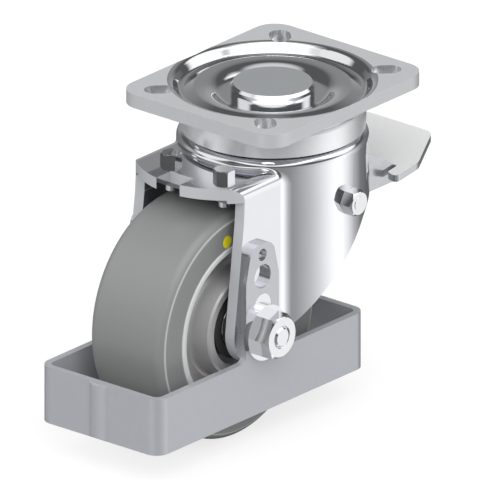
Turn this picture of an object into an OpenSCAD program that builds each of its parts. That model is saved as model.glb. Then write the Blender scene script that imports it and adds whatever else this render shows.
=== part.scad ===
// Swivel castor with a brake pedal and a foot guard.
// Origin: centre of the mounting face, on the swivel axis. +Z up, the wheel trails
// towards -X, the pedal points towards +X, the wheel turns about an axle along Y.

/* [Overall] */
// Mounting face to the top of the wheel; the overall height is this and the wheel
head_h = 40; // [38:0.5:46]
// Swivel axis to wheel axle
trail = 45; // [43:0.5:47]

/* [Mounting plate] */
// Plate length along the rolling direction
plate_l = 100; // [96:1:110]
// Plate width along the axle
plate_w = 85; // [84.5:0.5:95]
// Plate thickness
plate_t = 6; // [5.5:0.25:7]
// Radius of the plate corners
plate_corner_r = 10; // [6:1:14]
// Width of the fixing slots
slot_w = 9; // [7:0.5:10]
// Outer end of a slot, along the plate length
slot_out_x = 40; // [39:0.25:41]
// Outer end of a slot, along the plate width
slot_out_y = 30; // [29.5:0.25:31]
// Inner end of a slot, along the plate length
slot_in_x = 37.5; // [37:0.25:38.5]
// Inner end of a slot, along the plate width
slot_in_y = 27.5; // [27:0.25:28.5]
// Outer radius of the pressed dish
dish_r = 42; // [41:0.25:42]
// Radius of the pressed ridge above the ball track
ridge_r = 32.6; // [32:0.2:33.4]
// Depth of the ridge below the mounting face
ridge_depth = 2.75; // [2:0.25:3.5]
// Depth of the trough outside the ridge
trough_depth = 4.6; // [4:0.2:5]
// Depth of the dish floor that the kingpin sits on
dish_depth = 6.5; // [6:0.25:7]

/* [Swivel head] */
// Radius of the kingpin head
kingpin_head_r = 17.65; // [15:0.05:19]
// Kingpin head below the mounting face
kingpin_top_gap = 0.8; // [0.4:0.1:1.5]
// Radius of the kingpin shank
kingpin_r = 10; // [9:0.25:10.5]
// Radius of the upper balls
upper_ball_r = 4.5; // [4:0.1:4.7]
// Pitch radius of the upper ball row
upper_row_r = 32; // [31.5:0.25:32.5]
// Radius of the lower balls
lower_ball_r = 3; // [2.6:0.1:3.1]
// Pitch radius of the lower ball row
lower_row_r = 20; // [19.5:0.25:20.5]
// Outer radius of the dust ring
dust_ring_r = 39; // [38.5:0.1:39.3]
// Bottom of the dust ring below the mounting face
dust_ring_low = 19.7; // [19.3:0.1:20]
// Outer radius of the swivel lock ring
lock_ring_r = 19.5; // [19.2:0.1:19.5]
// Thickness of the swivel lock ring
lock_ring_t = 2.5; // [2:0.1:2.6]
// Height of the kingpin nut
kingpin_nut_h = 3.6; // [3.2:0.1:3.7]

/* [Fork] */
// Thickness of the fork sheet
fork_t = 5; // [4.5:0.1:5.2]
// Top of the fork crown below the mounting face
crown_drop = 20.5; // [20.5:0.1:21]
// Outer radius of the fork crown
crown_r = 40; // [39.5:0.1:40.5]
// Top of the front flange below the mounting face
flange_drop = 24.7; // [24.4:0.1:25]
// Distance between the outer faces of the legs
fork_w = 59; // [58.5:0.1:60]
// Radius round the axle at the foot of a leg
leg_foot_r = 14.5; // [13:0.25:15.5]
// Front edge of the flange ahead of the swivel axis
flange_reach = 67.7; // [66:0.1:69]
// Width of the notch in the flange
notch_w = 12.6; // [10:0.2:14]
// Distance between the two flange screws
screw_span = 28.6; // [27:0.2:30]
// Flange screws behind the front edge of the flange
screw_inset = 19.5; // [18.5:0.1:20]

/* [Wheel] */
// Wheel diameter
wheel_d = 100; // [98:0.5:100]
// Wheel width at the tyre side faces
wheel_w = 39.6; // [38:0.2:40]
// Outer radius of the metal wheel centre
centre_r = 37; // [36:0.25:40]
// Length of the wheel hub
hub_l = 43; // [42:0.5:44]
// Outer radius of the wheel hub
hub_r = 21.7; // [20.5:0.1:23]
// Outer radius of a wheel bearing
bearing_r = 17.5; // [17:0.1:17.5]
// Bore radius of a wheel bearing
bearing_bore_r = 7.5; // [7.5:0.1:7.8]
// Width of a wheel bearing
bearing_w = 11; // [10:0.5:11]
// Diameter of the coloured dot on the tyre
dot_d = 5.5; // [4:0.25:6.5]
// Distance of the coloured dot from the tread
dot_inset = 10.4; // [9.8:0.1:11]
// Place of the coloured dot ahead of the wheel's top
dot_turn = 11; // [0:1:40]

/* [Axle] */
// Diameter of the axle bolt
axle_d = 10; // [9.5:0.5:10.5]
// Width across flats of the axle nut
axle_nut_af = 17.5; // [17:0.5:19]
// Height of the axle nut
axle_nut_h = 8.2; // [7.5:0.1:9]
// Diameter of the axle washers
axle_washer_d = 24; // [22:0.5:26]
// Thickness of the axle washers
axle_washer_t = 2.4; // [2:0.1:3]

/* [Foot guard] */
// Length of the guard band
guard_l = 133.5; // [128:0.5:140]
// Thickness of the guard strip
guard_t = 3; // [2.5:0.1:3.5]
// Height of the guard band
guard_h = 25; // [20:0.5:28]
// Gap between the guard band and the floor
guard_floor_gap = 14; // [12:0.5:16]
// Outer corner radius of the guard band
guard_corner_r = 6; // [5:0.5:10]
// Half the width of the guard's upright ears
ear_half_w = 10.5; // [9.5:0.25:12]
// Spacing from the axle to the locating hole
pin_rise = 11.4; // [11.3:0.1:12]
// Spacing from the locating hole to the spare hole
pin_step = 13.1; // [12.5:0.1:13.5]
// Diameter of the locating holes
pin_d = 10.5; // [9:0.25:10.5]
// Diameter of the small top hole
small_hole_d = 5.3; // [4:0.1:6]
// Spacing from the spare hole to the small top hole
small_hole_step = 9.6; // [9.2:0.1:10.2]
// Height of an ear above the small top hole
ear_cap = 4.9; // [4:0.1:6]

/* [Brake] */
// Pedal pivot behind the swivel axis
pivot_x = 1.5; // [1:0.1:2]
// Pedal pivot below the mounting face
pivot_drop = 44; // [43.8:0.1:44.4]
// Diameter of the pedal pivot bolt
pivot_d = 6; // [5:0.1:6]
// Thickness of the pedal sheet
pedal_t = 3; // [2.5:0.1:3.2]
// Width of the pedal's foot plate
pedal_w = 60; // [54:1:66]
// Width of the pedal's neck
neck_w = 46; // [44:0.2:46.6]
// Rear end of the pedal behind the swivel axis
pedal_reach = 81; // [76:1:88]
// Slope of the foot plate
pedal_slope = 8; // [5:0.5:9]
// Turn of the pedal from free to locked
pedal_swing = 20; // [14:1:20]
// Throw of the cam roller from the pivot
cam_throw = 7; // [6.6:0.1:7.2]
// Radius of the cam roller
cam_roller_r = 3.5; // [3:0.1:3.6]
// Travel of the brake shoe
shoe_travel = 1.5; // [1.5:0.1:1.6]
// Thickness of the brake leaf spring
leaf_t = 1.5; // [1.2:0.1:1.6]

/* [Hidden] */
$fn = 96;
// Clearance of a fit between pieces that don't move on each other
fit_gap = 0.02;
// Radial running clearance of a turning fit
run_gap = 0.05;
// Overcut that takes a cutting solid past the face it cuts
over = 1;
total_h = head_h + wheel_d;
// Bottom of the tall solids that the fork is cut from
deep = -total_h;

slot_deep = plate_t + 10;
dust_ring_t = 2.2;
kingpin_seat = -dish_depth;
dish_under = -dish_depth - plate_t;
kingpin_hole_r = kingpin_r + fit_gap;
sleeve_wall = 2.4;
kingpin_clear_r = kingpin_hole_r + sleeve_wall + 1.1;
ridge_under = -ridge_depth - plate_t;
// The upper balls sink this far into the underside of the ridge
ball_bite = 0.8;
upper_row_z = ridge_under - upper_ball_r - run_gap + ball_bite;
crown_top = -crown_drop;
crown_under = crown_top - fork_t;
race_half_w = 5.2;
race_gap = 0.5;
race_top_drop = 2.4;
race_top = upper_row_z - race_top_drop;
race_in_r = upper_row_r - race_half_w;
race_out_r = dust_ring_r - dust_ring_t - race_gap;
crown_groove = 0.8;
lower_row_z = crown_under - lower_ball_r + crown_groove;
lower_race_top = lower_row_z - 0.7;
lower_race_floor = 1.5;
lower_race_low = lower_row_z - lower_ball_r - run_gap - lower_race_floor;
lower_race_r = lower_row_r + 5.5;
lock_ring_low = lower_race_low - lock_ring_t;
lock_teeth = 24;
lock_notch_w = 3;
lock_notch_depth = 3.2;
kingpin_nut_low = lock_ring_low - kingpin_nut_h;
kingpin_nut_af = 27;
// Lowest point of the plate's pressed trough, which the dust ring meets
trough_under = min([for (p = rounded_open(dish_line(plate_t))) if (p[0] > ridge_r) p[1]]);
dust_ring_top = trough_under - fit_gap;

leg_y = fork_w / 2;
leg_in_y = leg_y - fork_t;
crown_edge_r = 4;
leg_bend_r = 5.5;
inner_bend_r = 0.5;
leg_blend_r = 8;
blend_x = -sqrt(pow(crown_r + leg_blend_r, 2) - pow(leg_y + leg_blend_r, 2));
flange_top = -flange_drop;
flange_under = flange_top - fork_t;
leg_top = flange_top - leg_bend_r;
flange_arc_r = 36.7;
flange_arc_x = flange_arc_r - flange_reach;
notch_deep = 9.7;
notch_x = -flange_reach + notch_deep;
screw_reach = flange_reach - screw_inset;
axle_z = wheel_d / 2 - total_h;
axle_x = -trail;
wheel_r = wheel_d / 2;
leg_front_x = flange_arc_x - sqrt(pow(flange_arc_r, 2) - pow(leg_y, 2));
leg_knee_z = leg_top - 10;
// The rear edge of a leg runs at 45 degrees, this far from the axle
leg_rear_off = 16.8;
leg_rear_z = -49.5;
leg_swell_r = 40;
leg_rear_fillet_r = 25;
pedal_gate_z = -37.5;
pedal_gate_half = neck_w / 2 + 3;

screw_r = 2.5;
screw_head_af = 8;
screw_head_h = 3.5;
screw_end_z = axle_z + wheel_r + 1.6;
clamp_t = 3;
clamp_l = 12;
clamp_w = 40;

wheel_y = wheel_w / 2;
lip_r = 33.4;
lip_w = 3.1;
lip_proud = 0.3;
shoulder_r = 4;
rim_y = wheel_y - 1.4;
web_in_y = 10.5;
web_out_y = 13.5;
bearing_out_y = hub_l / 2 - 2.5;
bearing_in_y = bearing_out_y - bearing_w;
ball_pitch_r = (bearing_r + bearing_bore_r) / 2;
ball_r = 2.9;
ring_wall = 2.7;
balls_n = 9;
tube_r = bearing_bore_r - fit_gap;
collar_r = 10;
dot_x = axle_x - (wheel_r - dot_inset) * sin(dot_turn);
dot_z = axle_z + (wheel_r - dot_inset) * cos(dot_turn);

guard_half_l = guard_l / 2;
guard_y = leg_y + guard_t;
guard_low = -total_h + guard_floor_gap;
guard_top = guard_low + guard_h;
ear_fillet_r = 3;
bead_w = 10;
bead_proud = 1.6;
bead_front = -guard_half_l - bead_proud - over;
bead_back = -guard_half_l + guard_t / 2;
bead_inset = 0.6;
bead_end_r = 2.4;
bead_r = (pow(bead_w / 2, 2) + pow(bead_proud, 2)) / (2 * bead_proud);
pin_z = axle_z + pin_rise;
spare_z = pin_z + pin_step;
small_hole_z = spare_z + small_hole_step;
ear_top = small_hole_z + ear_cap;
axle_end_y = guard_y + axle_washer_t + axle_nut_h;

pivot_z = -pivot_drop;
pivot_r = pivot_d / 2;
pivot_nut_af = 10;
pivot_nut_h = 5.8;
pivot_head_h = 4;
eye_r = 8;
neck_y = neck_w / 2;
neck_in_y = neck_y - pedal_t;
bush_r = 5;
bush_end_y = sqrt(pow(crown_r - fork_t, 2) - pow(pivot_x + bush_r, 2)) - 0.1;
foot_y = pedal_w / 2;
foot_front_x = 43.5;
foot_ref_x = 58;
foot_ref_z = -47;
neck_low_z = -55;
neck_front_x = 12;
cheek_peak_x = 35;
cheek_peak_z = -39.4;
cheek_end_x = 52;
// Way from the pedal pivot to the axle: the brake shoe moves along it
pivot_to_axle = sqrt(pow(pivot_x - axle_x, 2) + pow(pivot_z - axle_z, 2));
shoe_turn = atan2(pivot_z - axle_z, pivot_x - axle_x);
cam_rest_turn = 50.3;
cam_gap = 0.3;
cam_x = pivot_x + cam_throw * cos(180 + shoe_turn + cam_rest_turn);
cam_z = pivot_z + cam_throw * sin(180 + shoe_turn + cam_rest_turn);
cam_pin_r = 2;
leaf_out = pivot_to_axle - cam_throw * cos(cam_rest_turn) - cam_roller_r - cam_gap;
shoe_out = leaf_out - leaf_t - run_gap;
shoe_in_r = wheel_r + 0.25;
shoe_half_l = 9;
shoe_y = 14.2;
leaf_y = 14;
leaf_lead = 5.8;
leaf_front_x = -screw_reach - leaf_lead;
leaf_bend_r = 38;
leaf_mid_z = flange_under - leaf_t / 2;
// The lock tabs: inner radius, width, depth, place round the ring, and how far the pressed
// tab stands off the notch's middle, since it swings across the notch as it rises
tab_r0 = 16.9;
tab_w = 1.4;
tab_l = 2.4;
tab_turn = 120;
tab_lag = 0.45;
tab_top_z = lock_ring_low + lock_ring_t / 2;

zinc = [0.80, 0.81, 0.83];
plate_grey = [0.72, 0.73, 0.75];
steel = [0.62, 0.63, 0.66];
dark_steel = [0.40, 0.40, 0.43];
guard_grey = [0.70, 0.71, 0.75];
rubber_grey = [0.52, 0.54, 0.54];

// Points of one corner b between a and c; a third value of b rounds it
function corner(a, b, c, steps) =
    let(
        r = len(b) > 2 ? b[2] : 0,
        p = [b[0], b[1]],
        u = ([a[0], a[1]] - p) / norm([a[0], a[1]] - p),
        v = ([c[0], c[1]] - p) / norm([c[0], c[1]] - p),
        half = acos(max(-1, min(1, u * v))) / 2
    )
    r == 0 || half > 89.9 ? [p] :
    let(
        m = p + (u + v) / norm(u + v) * r / sin(half),
        t0 = p + u * r / tan(half) - m,
        t1 = p + v * r / tan(half) - m,
        a0 = atan2(t0[1], t0[0]),
        turn = atan2(t0[0] * t1[1] - t0[1] * t1[0], t0 * t1)
    )
    [for (i = [0:steps]) m + r * [cos(a0 + turn * i / steps), sin(a0 + turn * i / steps)]];

// A closed outline from corners [x, y] or [x, y, radius]
function rounded(pts, steps = 6) =
    [for (i = [0:len(pts) - 1])
        each corner(pts[(i + len(pts) - 1) % len(pts)], pts[i], pts[(i + 1) % len(pts)], steps)];

// Twice the area of the triangle a, b, c: above 0 where the outline turns left at b
function turn_at(a, b, c) = (b[0] - a[0]) * (c[1] - b[1]) - (b[1] - a[1]) * (c[0] - b[0]);

// The same outline as a shape with true arcs. It runs anticlockwise: a corner that turns left
// is cut off and gets a sector back, one that turns right is filled and has a sector cut out
module arc_outline(pts) {
    difference() {
        union() {
            polygon(rounded(pts, 1));
            corner_sectors(pts, 1);
        }
        corner_sectors(pts, -1);
    }
}

// The circle sectors of an outline's rounded corners that turn one way
module corner_sectors(pts, way) {
    n = len(pts);
    for (i = [0:n - 1]) {
        a = pts[(i + n - 1) % n];
        b = pts[i];
        c = pts[(i + 1) % n];
        if (len(b) > 2 && way * turn_at(a, b, c) > 0) {
            ends = corner(a, b, c, 2);
            // Centre of the arc from its two ends and its middle
            mid = (ends[0] + ends[2]) / 2;
            m = ends[1] + (mid - ends[1]) / norm(mid - ends[1]) * b[2];
            intersection() {
                translate(m) circle(r = b[2]);
                polygon([m, m + 3 * (ends[0] - m), m + 3 * (ends[2] - m)]);
            }
        }
    }
}

// The top line of the plate's pressed dish, shifted down by drop
function dish_line(drop) = [
    [dish_r + 2, -drop], [dish_r, -drop, 3.5], [ridge_r + 5.8, -trough_depth - drop, 2.4],
    [ridge_r, -ridge_depth + 0.2 - drop, 2.2], [ridge_r - 5.5, -ridge_depth - 0.5 - drop, 14],
    [kingpin_head_r + 4.6, -dish_depth - drop, 5], [kingpin_hole_r, -dish_depth - drop]];

// Half the height that a chord at distance d leaves in a circle of radius r
function chord(r, d) = sqrt(r * r - d * d);

// Turn a profile (radius, position along Y) round the wheel axle
module about_axle() {
    translate([axle_x, 0, axle_z]) rotate([-90, 0, 0]) rotate_extrude() children();
}

// A cylinder along Y from y0 to y1 at (x, z)
module y_rod(r, y0, y1, x, z) {
    translate([x, y1, z]) rotate([90, 0, 0]) cylinder(r = r, h = y1 - y0);
}

// A hexagon along Y from y0 to y1 at (x, z), its tips chamfered at the end that shows
module y_hex(af, y0, y1, x, z, out = 1) {
    tip_r = af / 2 / cos(30);
    intersection() {
        translate([x, y1, z]) rotate([90, 0, 0]) cylinder(r = tip_r, h = y1 - y0, $fn = 6);
        translate([x, out > 0 ? y0 : y1, z]) rotate([-90 * out, 0, 0])
            rotate_extrude() polygon([[0, 0], [tip_r + over, 0], [tip_r + over, y1 - y0 - 2],
                [af / 2 - 0.2, y1 - y0], [0, y1 - y0]]);
    }
}

// Extrude a side outline (x, z) along Y from -half to half
module y_slab(half) {
    translate([0, half, 0]) rotate([90, 0, 0]) linear_extrude(2 * half) children();
}

// Repeat on both sides of the wheel's middle plane
module both_sides() {
    for (side = [0, 1]) mirror([0, side, 0]) children();
}

// A row of balls round the swivel axis
module ball_row(n, r, ball, z) {
    for (i = [0:n - 1]) rotate(360 * i / n) translate([r, 0, z]) sphere(r = ball, $fn = 32);
}

module mount_plate() {
    l = plate_l / 2;
    w = plate_w / 2;
    r = plate_corner_r;
    color(plate_grey) difference() {
        intersection() {
            translate([0, 0, -slot_deep]) linear_extrude(slot_deep)
                arc_outline([[-l, -w, r], [l, -w, r], [l, w, r], [-l, w, r]]);
            union() {
                translate([0, 0, -plate_t]) difference() {
                    translate([-l, -w, 0]) cube([2 * l, 2 * w, plate_t]);
                    translate([0, 0, -over]) cylinder(r = dish_r + 1.9, h = plate_t + 2 * over);
                }
                rotate_extrude() arc_outline(concat(dish_line(0), reversed(dish_line(plate_t))));
            }
        }
        for (sx = [-1, 1], sy = [-1, 1]) plate_slot(sx, sy);
        rotate_extrude() translate([upper_row_r, upper_row_z]) circle(r = upper_ball_r + run_gap);
    }
}

// One diagonal slot for a fixing bolt
module plate_slot(sx, sy) {
    a = [sx * slot_in_x, sy * slot_in_y];
    b = [sx * slot_out_x, sy * slot_out_y];
    across = [-(b[1] - a[1]), b[0] - a[0]] / norm(b - a) * slot_w / 2;
    translate([0, 0, -slot_deep]) linear_extrude(2 * slot_deep) {
        translate(a) circle(d = slot_w);
        translate(b) circle(d = slot_w);
        polygon([a + across, b + across, b - across, a - across]);
    }
}

// The corners of an open line, its two ends left sharp
function rounded_open(pts, steps = 6) = concat([[pts[0][0], pts[0][1]]],
    [for (i = [1:len(pts) - 2]) each corner(pts[i - 1], pts[i], pts[i + 1], steps)],
    [[pts[len(pts) - 1][0], pts[len(pts) - 1][1]]]);

function reversed(pts) = [for (i = [len(pts) - 1:-1:0]) pts[i]];

// The corners of a whole section from those on one side of the wheel's middle plane
function both_halves(half) = concat(reversed(half),
    [for (p = half) len(p) > 2 ? [p[0], -p[1], p[2]] : [p[0], -p[1]]]);

module kingpin() {
    end_z = kingpin_nut_low + 0.4;
    color(steel) rotate_extrude() polygon([[0, -kingpin_top_gap],
        [kingpin_head_r - 1.25, -kingpin_top_gap], [kingpin_head_r, -kingpin_top_gap - 1.25],
        [kingpin_head_r, kingpin_seat], [kingpin_r, kingpin_seat],
        [kingpin_r, end_z + 1], [kingpin_r - 1, end_z], [0, end_z]]);
}

// A skirt hung from the plate, which covers the upper ball row
module dust_ring() {
    color(plate_grey) rotate_extrude() polygon([[dust_ring_r - dust_ring_t, dust_ring_top],
        [dust_ring_r - 0.7, dust_ring_top], [dust_ring_r, dust_ring_top - 0.7],
        [dust_ring_r - 0.4, -dust_ring_low], [dust_ring_r - dust_ring_t, -dust_ring_low]]);
}

module kingpin_sleeve() {
    color(steel) translate([0, 0, lower_race_top]) difference() {
        cylinder(r = kingpin_hole_r + sleeve_wall, h = dish_under - lower_race_top);
        translate([0, 0, -over]) cylinder(r = kingpin_hole_r, h = 2 * plate_t + total_h);
    }
}

module lower_race() {
    color(steel) rotate_extrude() difference() {
        polygon([[kingpin_hole_r, lower_race_low], [lower_race_r - 2, lower_race_low],
            [lower_race_r, lower_race_low + 2], [lower_race_r, lower_race_top + 0.6],
            [lower_race_r - 0.6, lower_race_top], [kingpin_hole_r, lower_race_top]]);
        translate([lower_row_r, lower_row_z]) circle(r = lower_ball_r + run_gap);
    }
}

// A notched ring that the pedal's tabs enter to stop the swivel
module lock_ring() {
    color(steel) translate([0, 0, lock_ring_low]) linear_extrude(lock_ring_t) difference() {
        circle(r = lock_ring_r);
        circle(r = kingpin_hole_r);
        for (i = [0:lock_teeth - 1]) rotate(360 * i / lock_teeth)
            translate([lock_ring_r - lock_notch_depth, -lock_notch_w / 2])
                square([lock_notch_depth + over, lock_notch_w]);
    }
}

module kingpin_nut() {
    color(zinc) translate([0, 0, kingpin_nut_low]) difference() {
        cylinder(r = kingpin_nut_af / 2 / cos(30), h = kingpin_nut_h, $fn = 6);
        translate([0, 0, -over]) cylinder(r = kingpin_hole_r, h = kingpin_nut_h + 2 * over);
    }
}

// The fork's outer form for inset 0, or its hollow for inset = sheet thickness
module fork_form(inset) {
    r = crown_r - inset;
    w = leg_y - inset;
    blend = leg_blend_r + inset;
    centre = [blend_x, leg_y + leg_blend_r];
    edge_r = max(crown_edge_r - inset, inner_bend_r);
    bend_r = max(leg_bend_r - inset, inner_bend_r);
    rotate_extrude() arc_outline([[0, deep], [r, deep], [r, crown_top - inset, edge_r],
        [0, crown_top - inset]]);
    translate([-flange_reach - over, 0, 0]) rotate([90, 0, 90])
        linear_extrude(flange_reach + over) arc_outline([[-w, deep], [w, deep],
            [w, flange_top - inset, bend_r], [-w, flange_top - inset, bend_r]]);
    both_sides() translate([0, 0, deep]) linear_extrude(leg_top - inset - deep) difference() {
        polygon([[blend_x, w], [blend_x, w - over], [over - chord(r, w), w - over],
            centre * (r - over) / (r + blend), centre * r / (r + blend)]);
        translate(centre) circle(r = blend);
    }
}

// Side outline of the fork legs: front edge, foot round the axle, rear edge
module leg_outline() {
    foot = [axle_x, axle_z];
    knee = [leg_front_x - 0.5, leg_knee_z];
    reach = norm(knee - foot);
    knee_turn = atan2(knee[1] - foot[1], knee[0] - foot[0]) + acos(leg_foot_r / reach);
    front = foot + leg_foot_r * [cos(knee_turn), sin(knee_turn)];
    run = [1, 1] / sqrt(2);
    out = [1, -1] / sqrt(2);
    near = foot + leg_rear_off * out;
    slack = leg_rear_off - leg_foot_r;
    swell_way = sqrt(slack * (2 * leg_swell_r - leg_rear_off - leg_foot_r));
    swell = near + run * swell_way - out * leg_swell_r;
    touch = swell + (foot - swell) / norm(foot - swell) * leg_swell_r;
    rear = near + run * (leg_rear_z - near[1]) * sqrt(2);
    translate(foot) circle(r = leg_foot_r);
    top = leg_top - over / 2;
    polygon(concat([[leg_front_x, top], knee, front, foot, near + run * swell_way],
        corner(near, [rear[0], rear[1], leg_rear_fillet_r], rear + [crown_r, 0], 10),
        [[crown_r + over, leg_rear_z], [crown_r + over, top]]));
    intersection() {
        translate(swell) circle(r = leg_swell_r);
        polygon([swell, touch, touch + out * leg_foot_r, near + run * swell_way + out * leg_foot_r,
            near + run * swell_way]);
    }
}

module fork() {
    color(zinc) difference() {
        intersection() {
            difference() {
                fork_form(0);
                fork_form(fork_t);
            }
            union() {
                translate([0, 0, leg_top - over]) linear_extrude(over - leg_top) {
                    translate([flange_arc_x, 0]) circle(r = flange_arc_r);
                    circle(r = crown_r + over);
                }
                y_slab(crown_r + over) leg_outline();
            }
        }
        translate([-flange_reach - over, -notch_w / 2, flange_under - over])
            cube([notch_x + flange_reach + over, notch_w, fork_t + 2 * over]);
        translate([neck_front_x, -pedal_gate_half, deep])
            cube([crown_r, 2 * pedal_gate_half, pedal_gate_z - deep]);
        translate([0, 0, deep]) cylinder(r = kingpin_clear_r, h = total_h);
        rotate_extrude() translate([lower_row_r, lower_row_z]) circle(r = lower_ball_r + run_gap);
        both_sides() translate([-screw_reach, screw_span / 2, deep])
            cylinder(r = screw_r + fit_gap, h = total_h);
        y_rod(pivot_r + fit_gap, -crown_r - over, crown_r + over, pivot_x, pivot_z);
        y_rod(axle_d / 2 + fit_gap, -crown_r, crown_r, axle_x, axle_z);
        y_rod(pin_d / 2 + fit_gap, -crown_r, crown_r, axle_x, pin_z);
    }
}

module upper_race() {
    color(steel) rotate_extrude() difference() {
        translate([race_in_r, crown_top]) square([race_out_r - race_in_r, race_top - crown_top]);
        translate([upper_row_r, upper_row_z]) circle(r = upper_ball_r + run_gap);
    }
}

module upper_balls() {
    n = floor(PI * upper_row_r / (upper_ball_r + 0.1));
    color(steel) ball_row(n, upper_row_r, upper_ball_r, upper_row_z);
}

module lower_balls() {
    n = floor(PI * lower_row_r / (lower_ball_r + 0.1));
    color(steel) ball_row(n, lower_row_r, lower_ball_r, lower_row_z);
}

// Two hexagon head screws through the front flange
module flange_screws() {
    color(zinc) both_sides() translate([-screw_reach, screw_span / 2, 0]) {
        intersection() {
            translate([0, 0, flange_top])
                cylinder(r = screw_head_af / 2 / cos(30), h = screw_head_h, $fn = 6);
            translate([0, 0, flange_top]) rotate_extrude() polygon([[0, 0],
                [screw_head_af, 0], [screw_head_af, screw_head_h - 2.2],
                [screw_head_af / 2 - 0.1, screw_head_h], [0, screw_head_h]]);
        }
        rotate_extrude() polygon([[0, flange_top + 0.5], [screw_r, flange_top + 0.5],
            [screw_r, screw_end_z + 0.8], [screw_r - 0.8, screw_end_z], [0, screw_end_z]]);
    }
}

// Threaded plate under the leaf spring that takes the flange screws
module clamp_plate() {
    top = flange_under - leaf_t;
    color(steel) difference() {
        translate([leaf_front_x + over, -clamp_w / 2, top - clamp_t])
            cube([clamp_l, clamp_w, clamp_t]);
        both_sides() translate([-screw_reach, screw_span / 2, top - clamp_t - over])
            cylinder(r = screw_r + fit_gap, h = clamp_t + 2 * over);
    }
}

// The leaf from the flange to the shoe: flat, a bend, then straight along the shoe
module brake_spring() {
    run = [sin(shoe_turn), -cos(shoe_turn)];
    out = [cos(shoe_turn), sin(shoe_turn)];
    foot = [axle_x, axle_z];
    mid = foot + out * (leaf_out - leaf_t / 2);
    bend_x = mid[0] - (leaf_mid_z - mid[1]) * run[0] / -run[1];
    tip = mid + run * shoe_half_l;
    top = rounded_open([[leaf_front_x, leaf_mid_z + leaf_t / 2],
        [bend_x + leaf_t / 2 * tan((90 - shoe_turn) / 2), leaf_mid_z + leaf_t / 2, leaf_bend_r + leaf_t],
        tip + out * leaf_t / 2], 14);
    low = rounded_open([[leaf_front_x, leaf_mid_z - leaf_t / 2],
        [bend_x - leaf_t / 2 * tan((90 - shoe_turn) / 2), leaf_mid_z - leaf_t / 2, leaf_bend_r],
        tip - out * leaf_t / 2], 14);
    color(dark_steel) difference() {
        union() {
            y_slab(leaf_y) polygon(concat(top, reversed(low)));
            translate([leaf_front_x, -clamp_w / 2, leaf_mid_z - leaf_t / 2])
                cube([clamp_l, clamp_w, leaf_t]);
        }
        both_sides() translate([-screw_reach, screw_span / 2, deep])
            cylinder(r = screw_r + fit_gap, h = total_h);
    }
}

// A block that the cam presses on the tyre, curved to the tread
module brake_shoe() {
    out = [cos(shoe_turn), sin(shoe_turn)];
    color(dark_steel) difference() {
        translate([axle_x, 0, axle_z]) rotate([0, -shoe_turn, 0])
            translate([shoe_in_r - 2, -shoe_y, -shoe_half_l])
                cube([shoe_out - shoe_in_r + 2, 2 * shoe_y, 2 * shoe_half_l]);
        y_rod(shoe_in_r, -shoe_y - over, shoe_y + over, axle_x + shoe_travel * out[0],
            axle_z + shoe_travel * out[1]);
    }
}

// Height of the top of the foot plate at x
function foot_z(x) = foot_ref_z + (x - foot_ref_x) * tan(pedal_slope);

// The pedal, pressed from one sheet: foot plate, sunk neck with two cheeks, lock tabs
module brake_pedal() {
    ramp_x = foot_front_x + 8;
    neck_bend_x = foot_front_x - 2;
    neck_z = neck_low_z + pedal_t;
    bend_r = 6;
    color(zinc) difference() {
        union() {
            y_slab(neck_y) arc_outline([[neck_front_x, neck_low_z],
                [neck_bend_x, neck_low_z, bend_r], [ramp_x, foot_z(ramp_x) - pedal_t, bend_r],
                [ramp_x + 3, foot_z(ramp_x + 3) - pedal_t], [ramp_x + 3, foot_z(ramp_x + 3)],
                [ramp_x, foot_z(ramp_x), bend_r], [neck_bend_x, neck_z, bend_r],
                [neck_front_x, neck_z]]);
            intersection() {
                y_slab(foot_y) polygon([[foot_front_x, foot_z(foot_front_x)],
                    [pedal_reach, foot_z(pedal_reach)],
                    [pedal_reach, foot_z(pedal_reach) - pedal_t],
                    [foot_front_x, foot_z(foot_front_x) - pedal_t]]);
                translate([0, 0, deep]) linear_extrude(total_h) foot_outline(ramp_x);
            }
            both_sides() translate([0, neck_y, 0]) rotate([90, 0, 0])
                linear_extrude(pedal_t) cheek_outline();
            both_sides() lock_tab();
        }
        y_rod(pivot_r + run_gap, -foot_y, foot_y, pivot_x, pivot_z);
        y_rod(cam_pin_r + fit_gap, -foot_y, foot_y, cam_x, cam_z);
    }
}

// Plan outline of the foot plate: cut rear corners, and reliefs beside the neck
module foot_outline(ramp_x) {
    relief = neck_y + 1.2;
    arc_outline([[foot_front_x, -foot_y, 2], [foot_ref_x, -foot_y, 6],
        [pedal_reach, -foot_y + 12, 5], [pedal_reach, foot_y - 12, 5], [foot_ref_x, foot_y, 6],
        [foot_front_x, foot_y, 2], [foot_front_x + 1.5, relief, 1], [ramp_x, relief, 1.5],
        [ramp_x, -relief, 1.5], [foot_front_x + 1.5, -relief, 1]]);
}

// Side outline of a cheek: eye round the pivot, straight foot, rounded rear end
module cheek_outline() {
    translate([pivot_x, pivot_z]) circle(r = eye_r);
    arc_outline([[pivot_x, pivot_z + eye_r], [pivot_x - 3, pivot_z - 2],
        [pivot_x - 1, pivot_z - eye_r + 0.2], [neck_front_x, neck_low_z, 8],
        [cheek_end_x, neck_low_z, 1.5], [cheek_end_x, foot_z(cheek_end_x) - 0.5, 3],
        [cheek_peak_x + 3, cheek_peak_z, 12]]);
}

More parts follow.
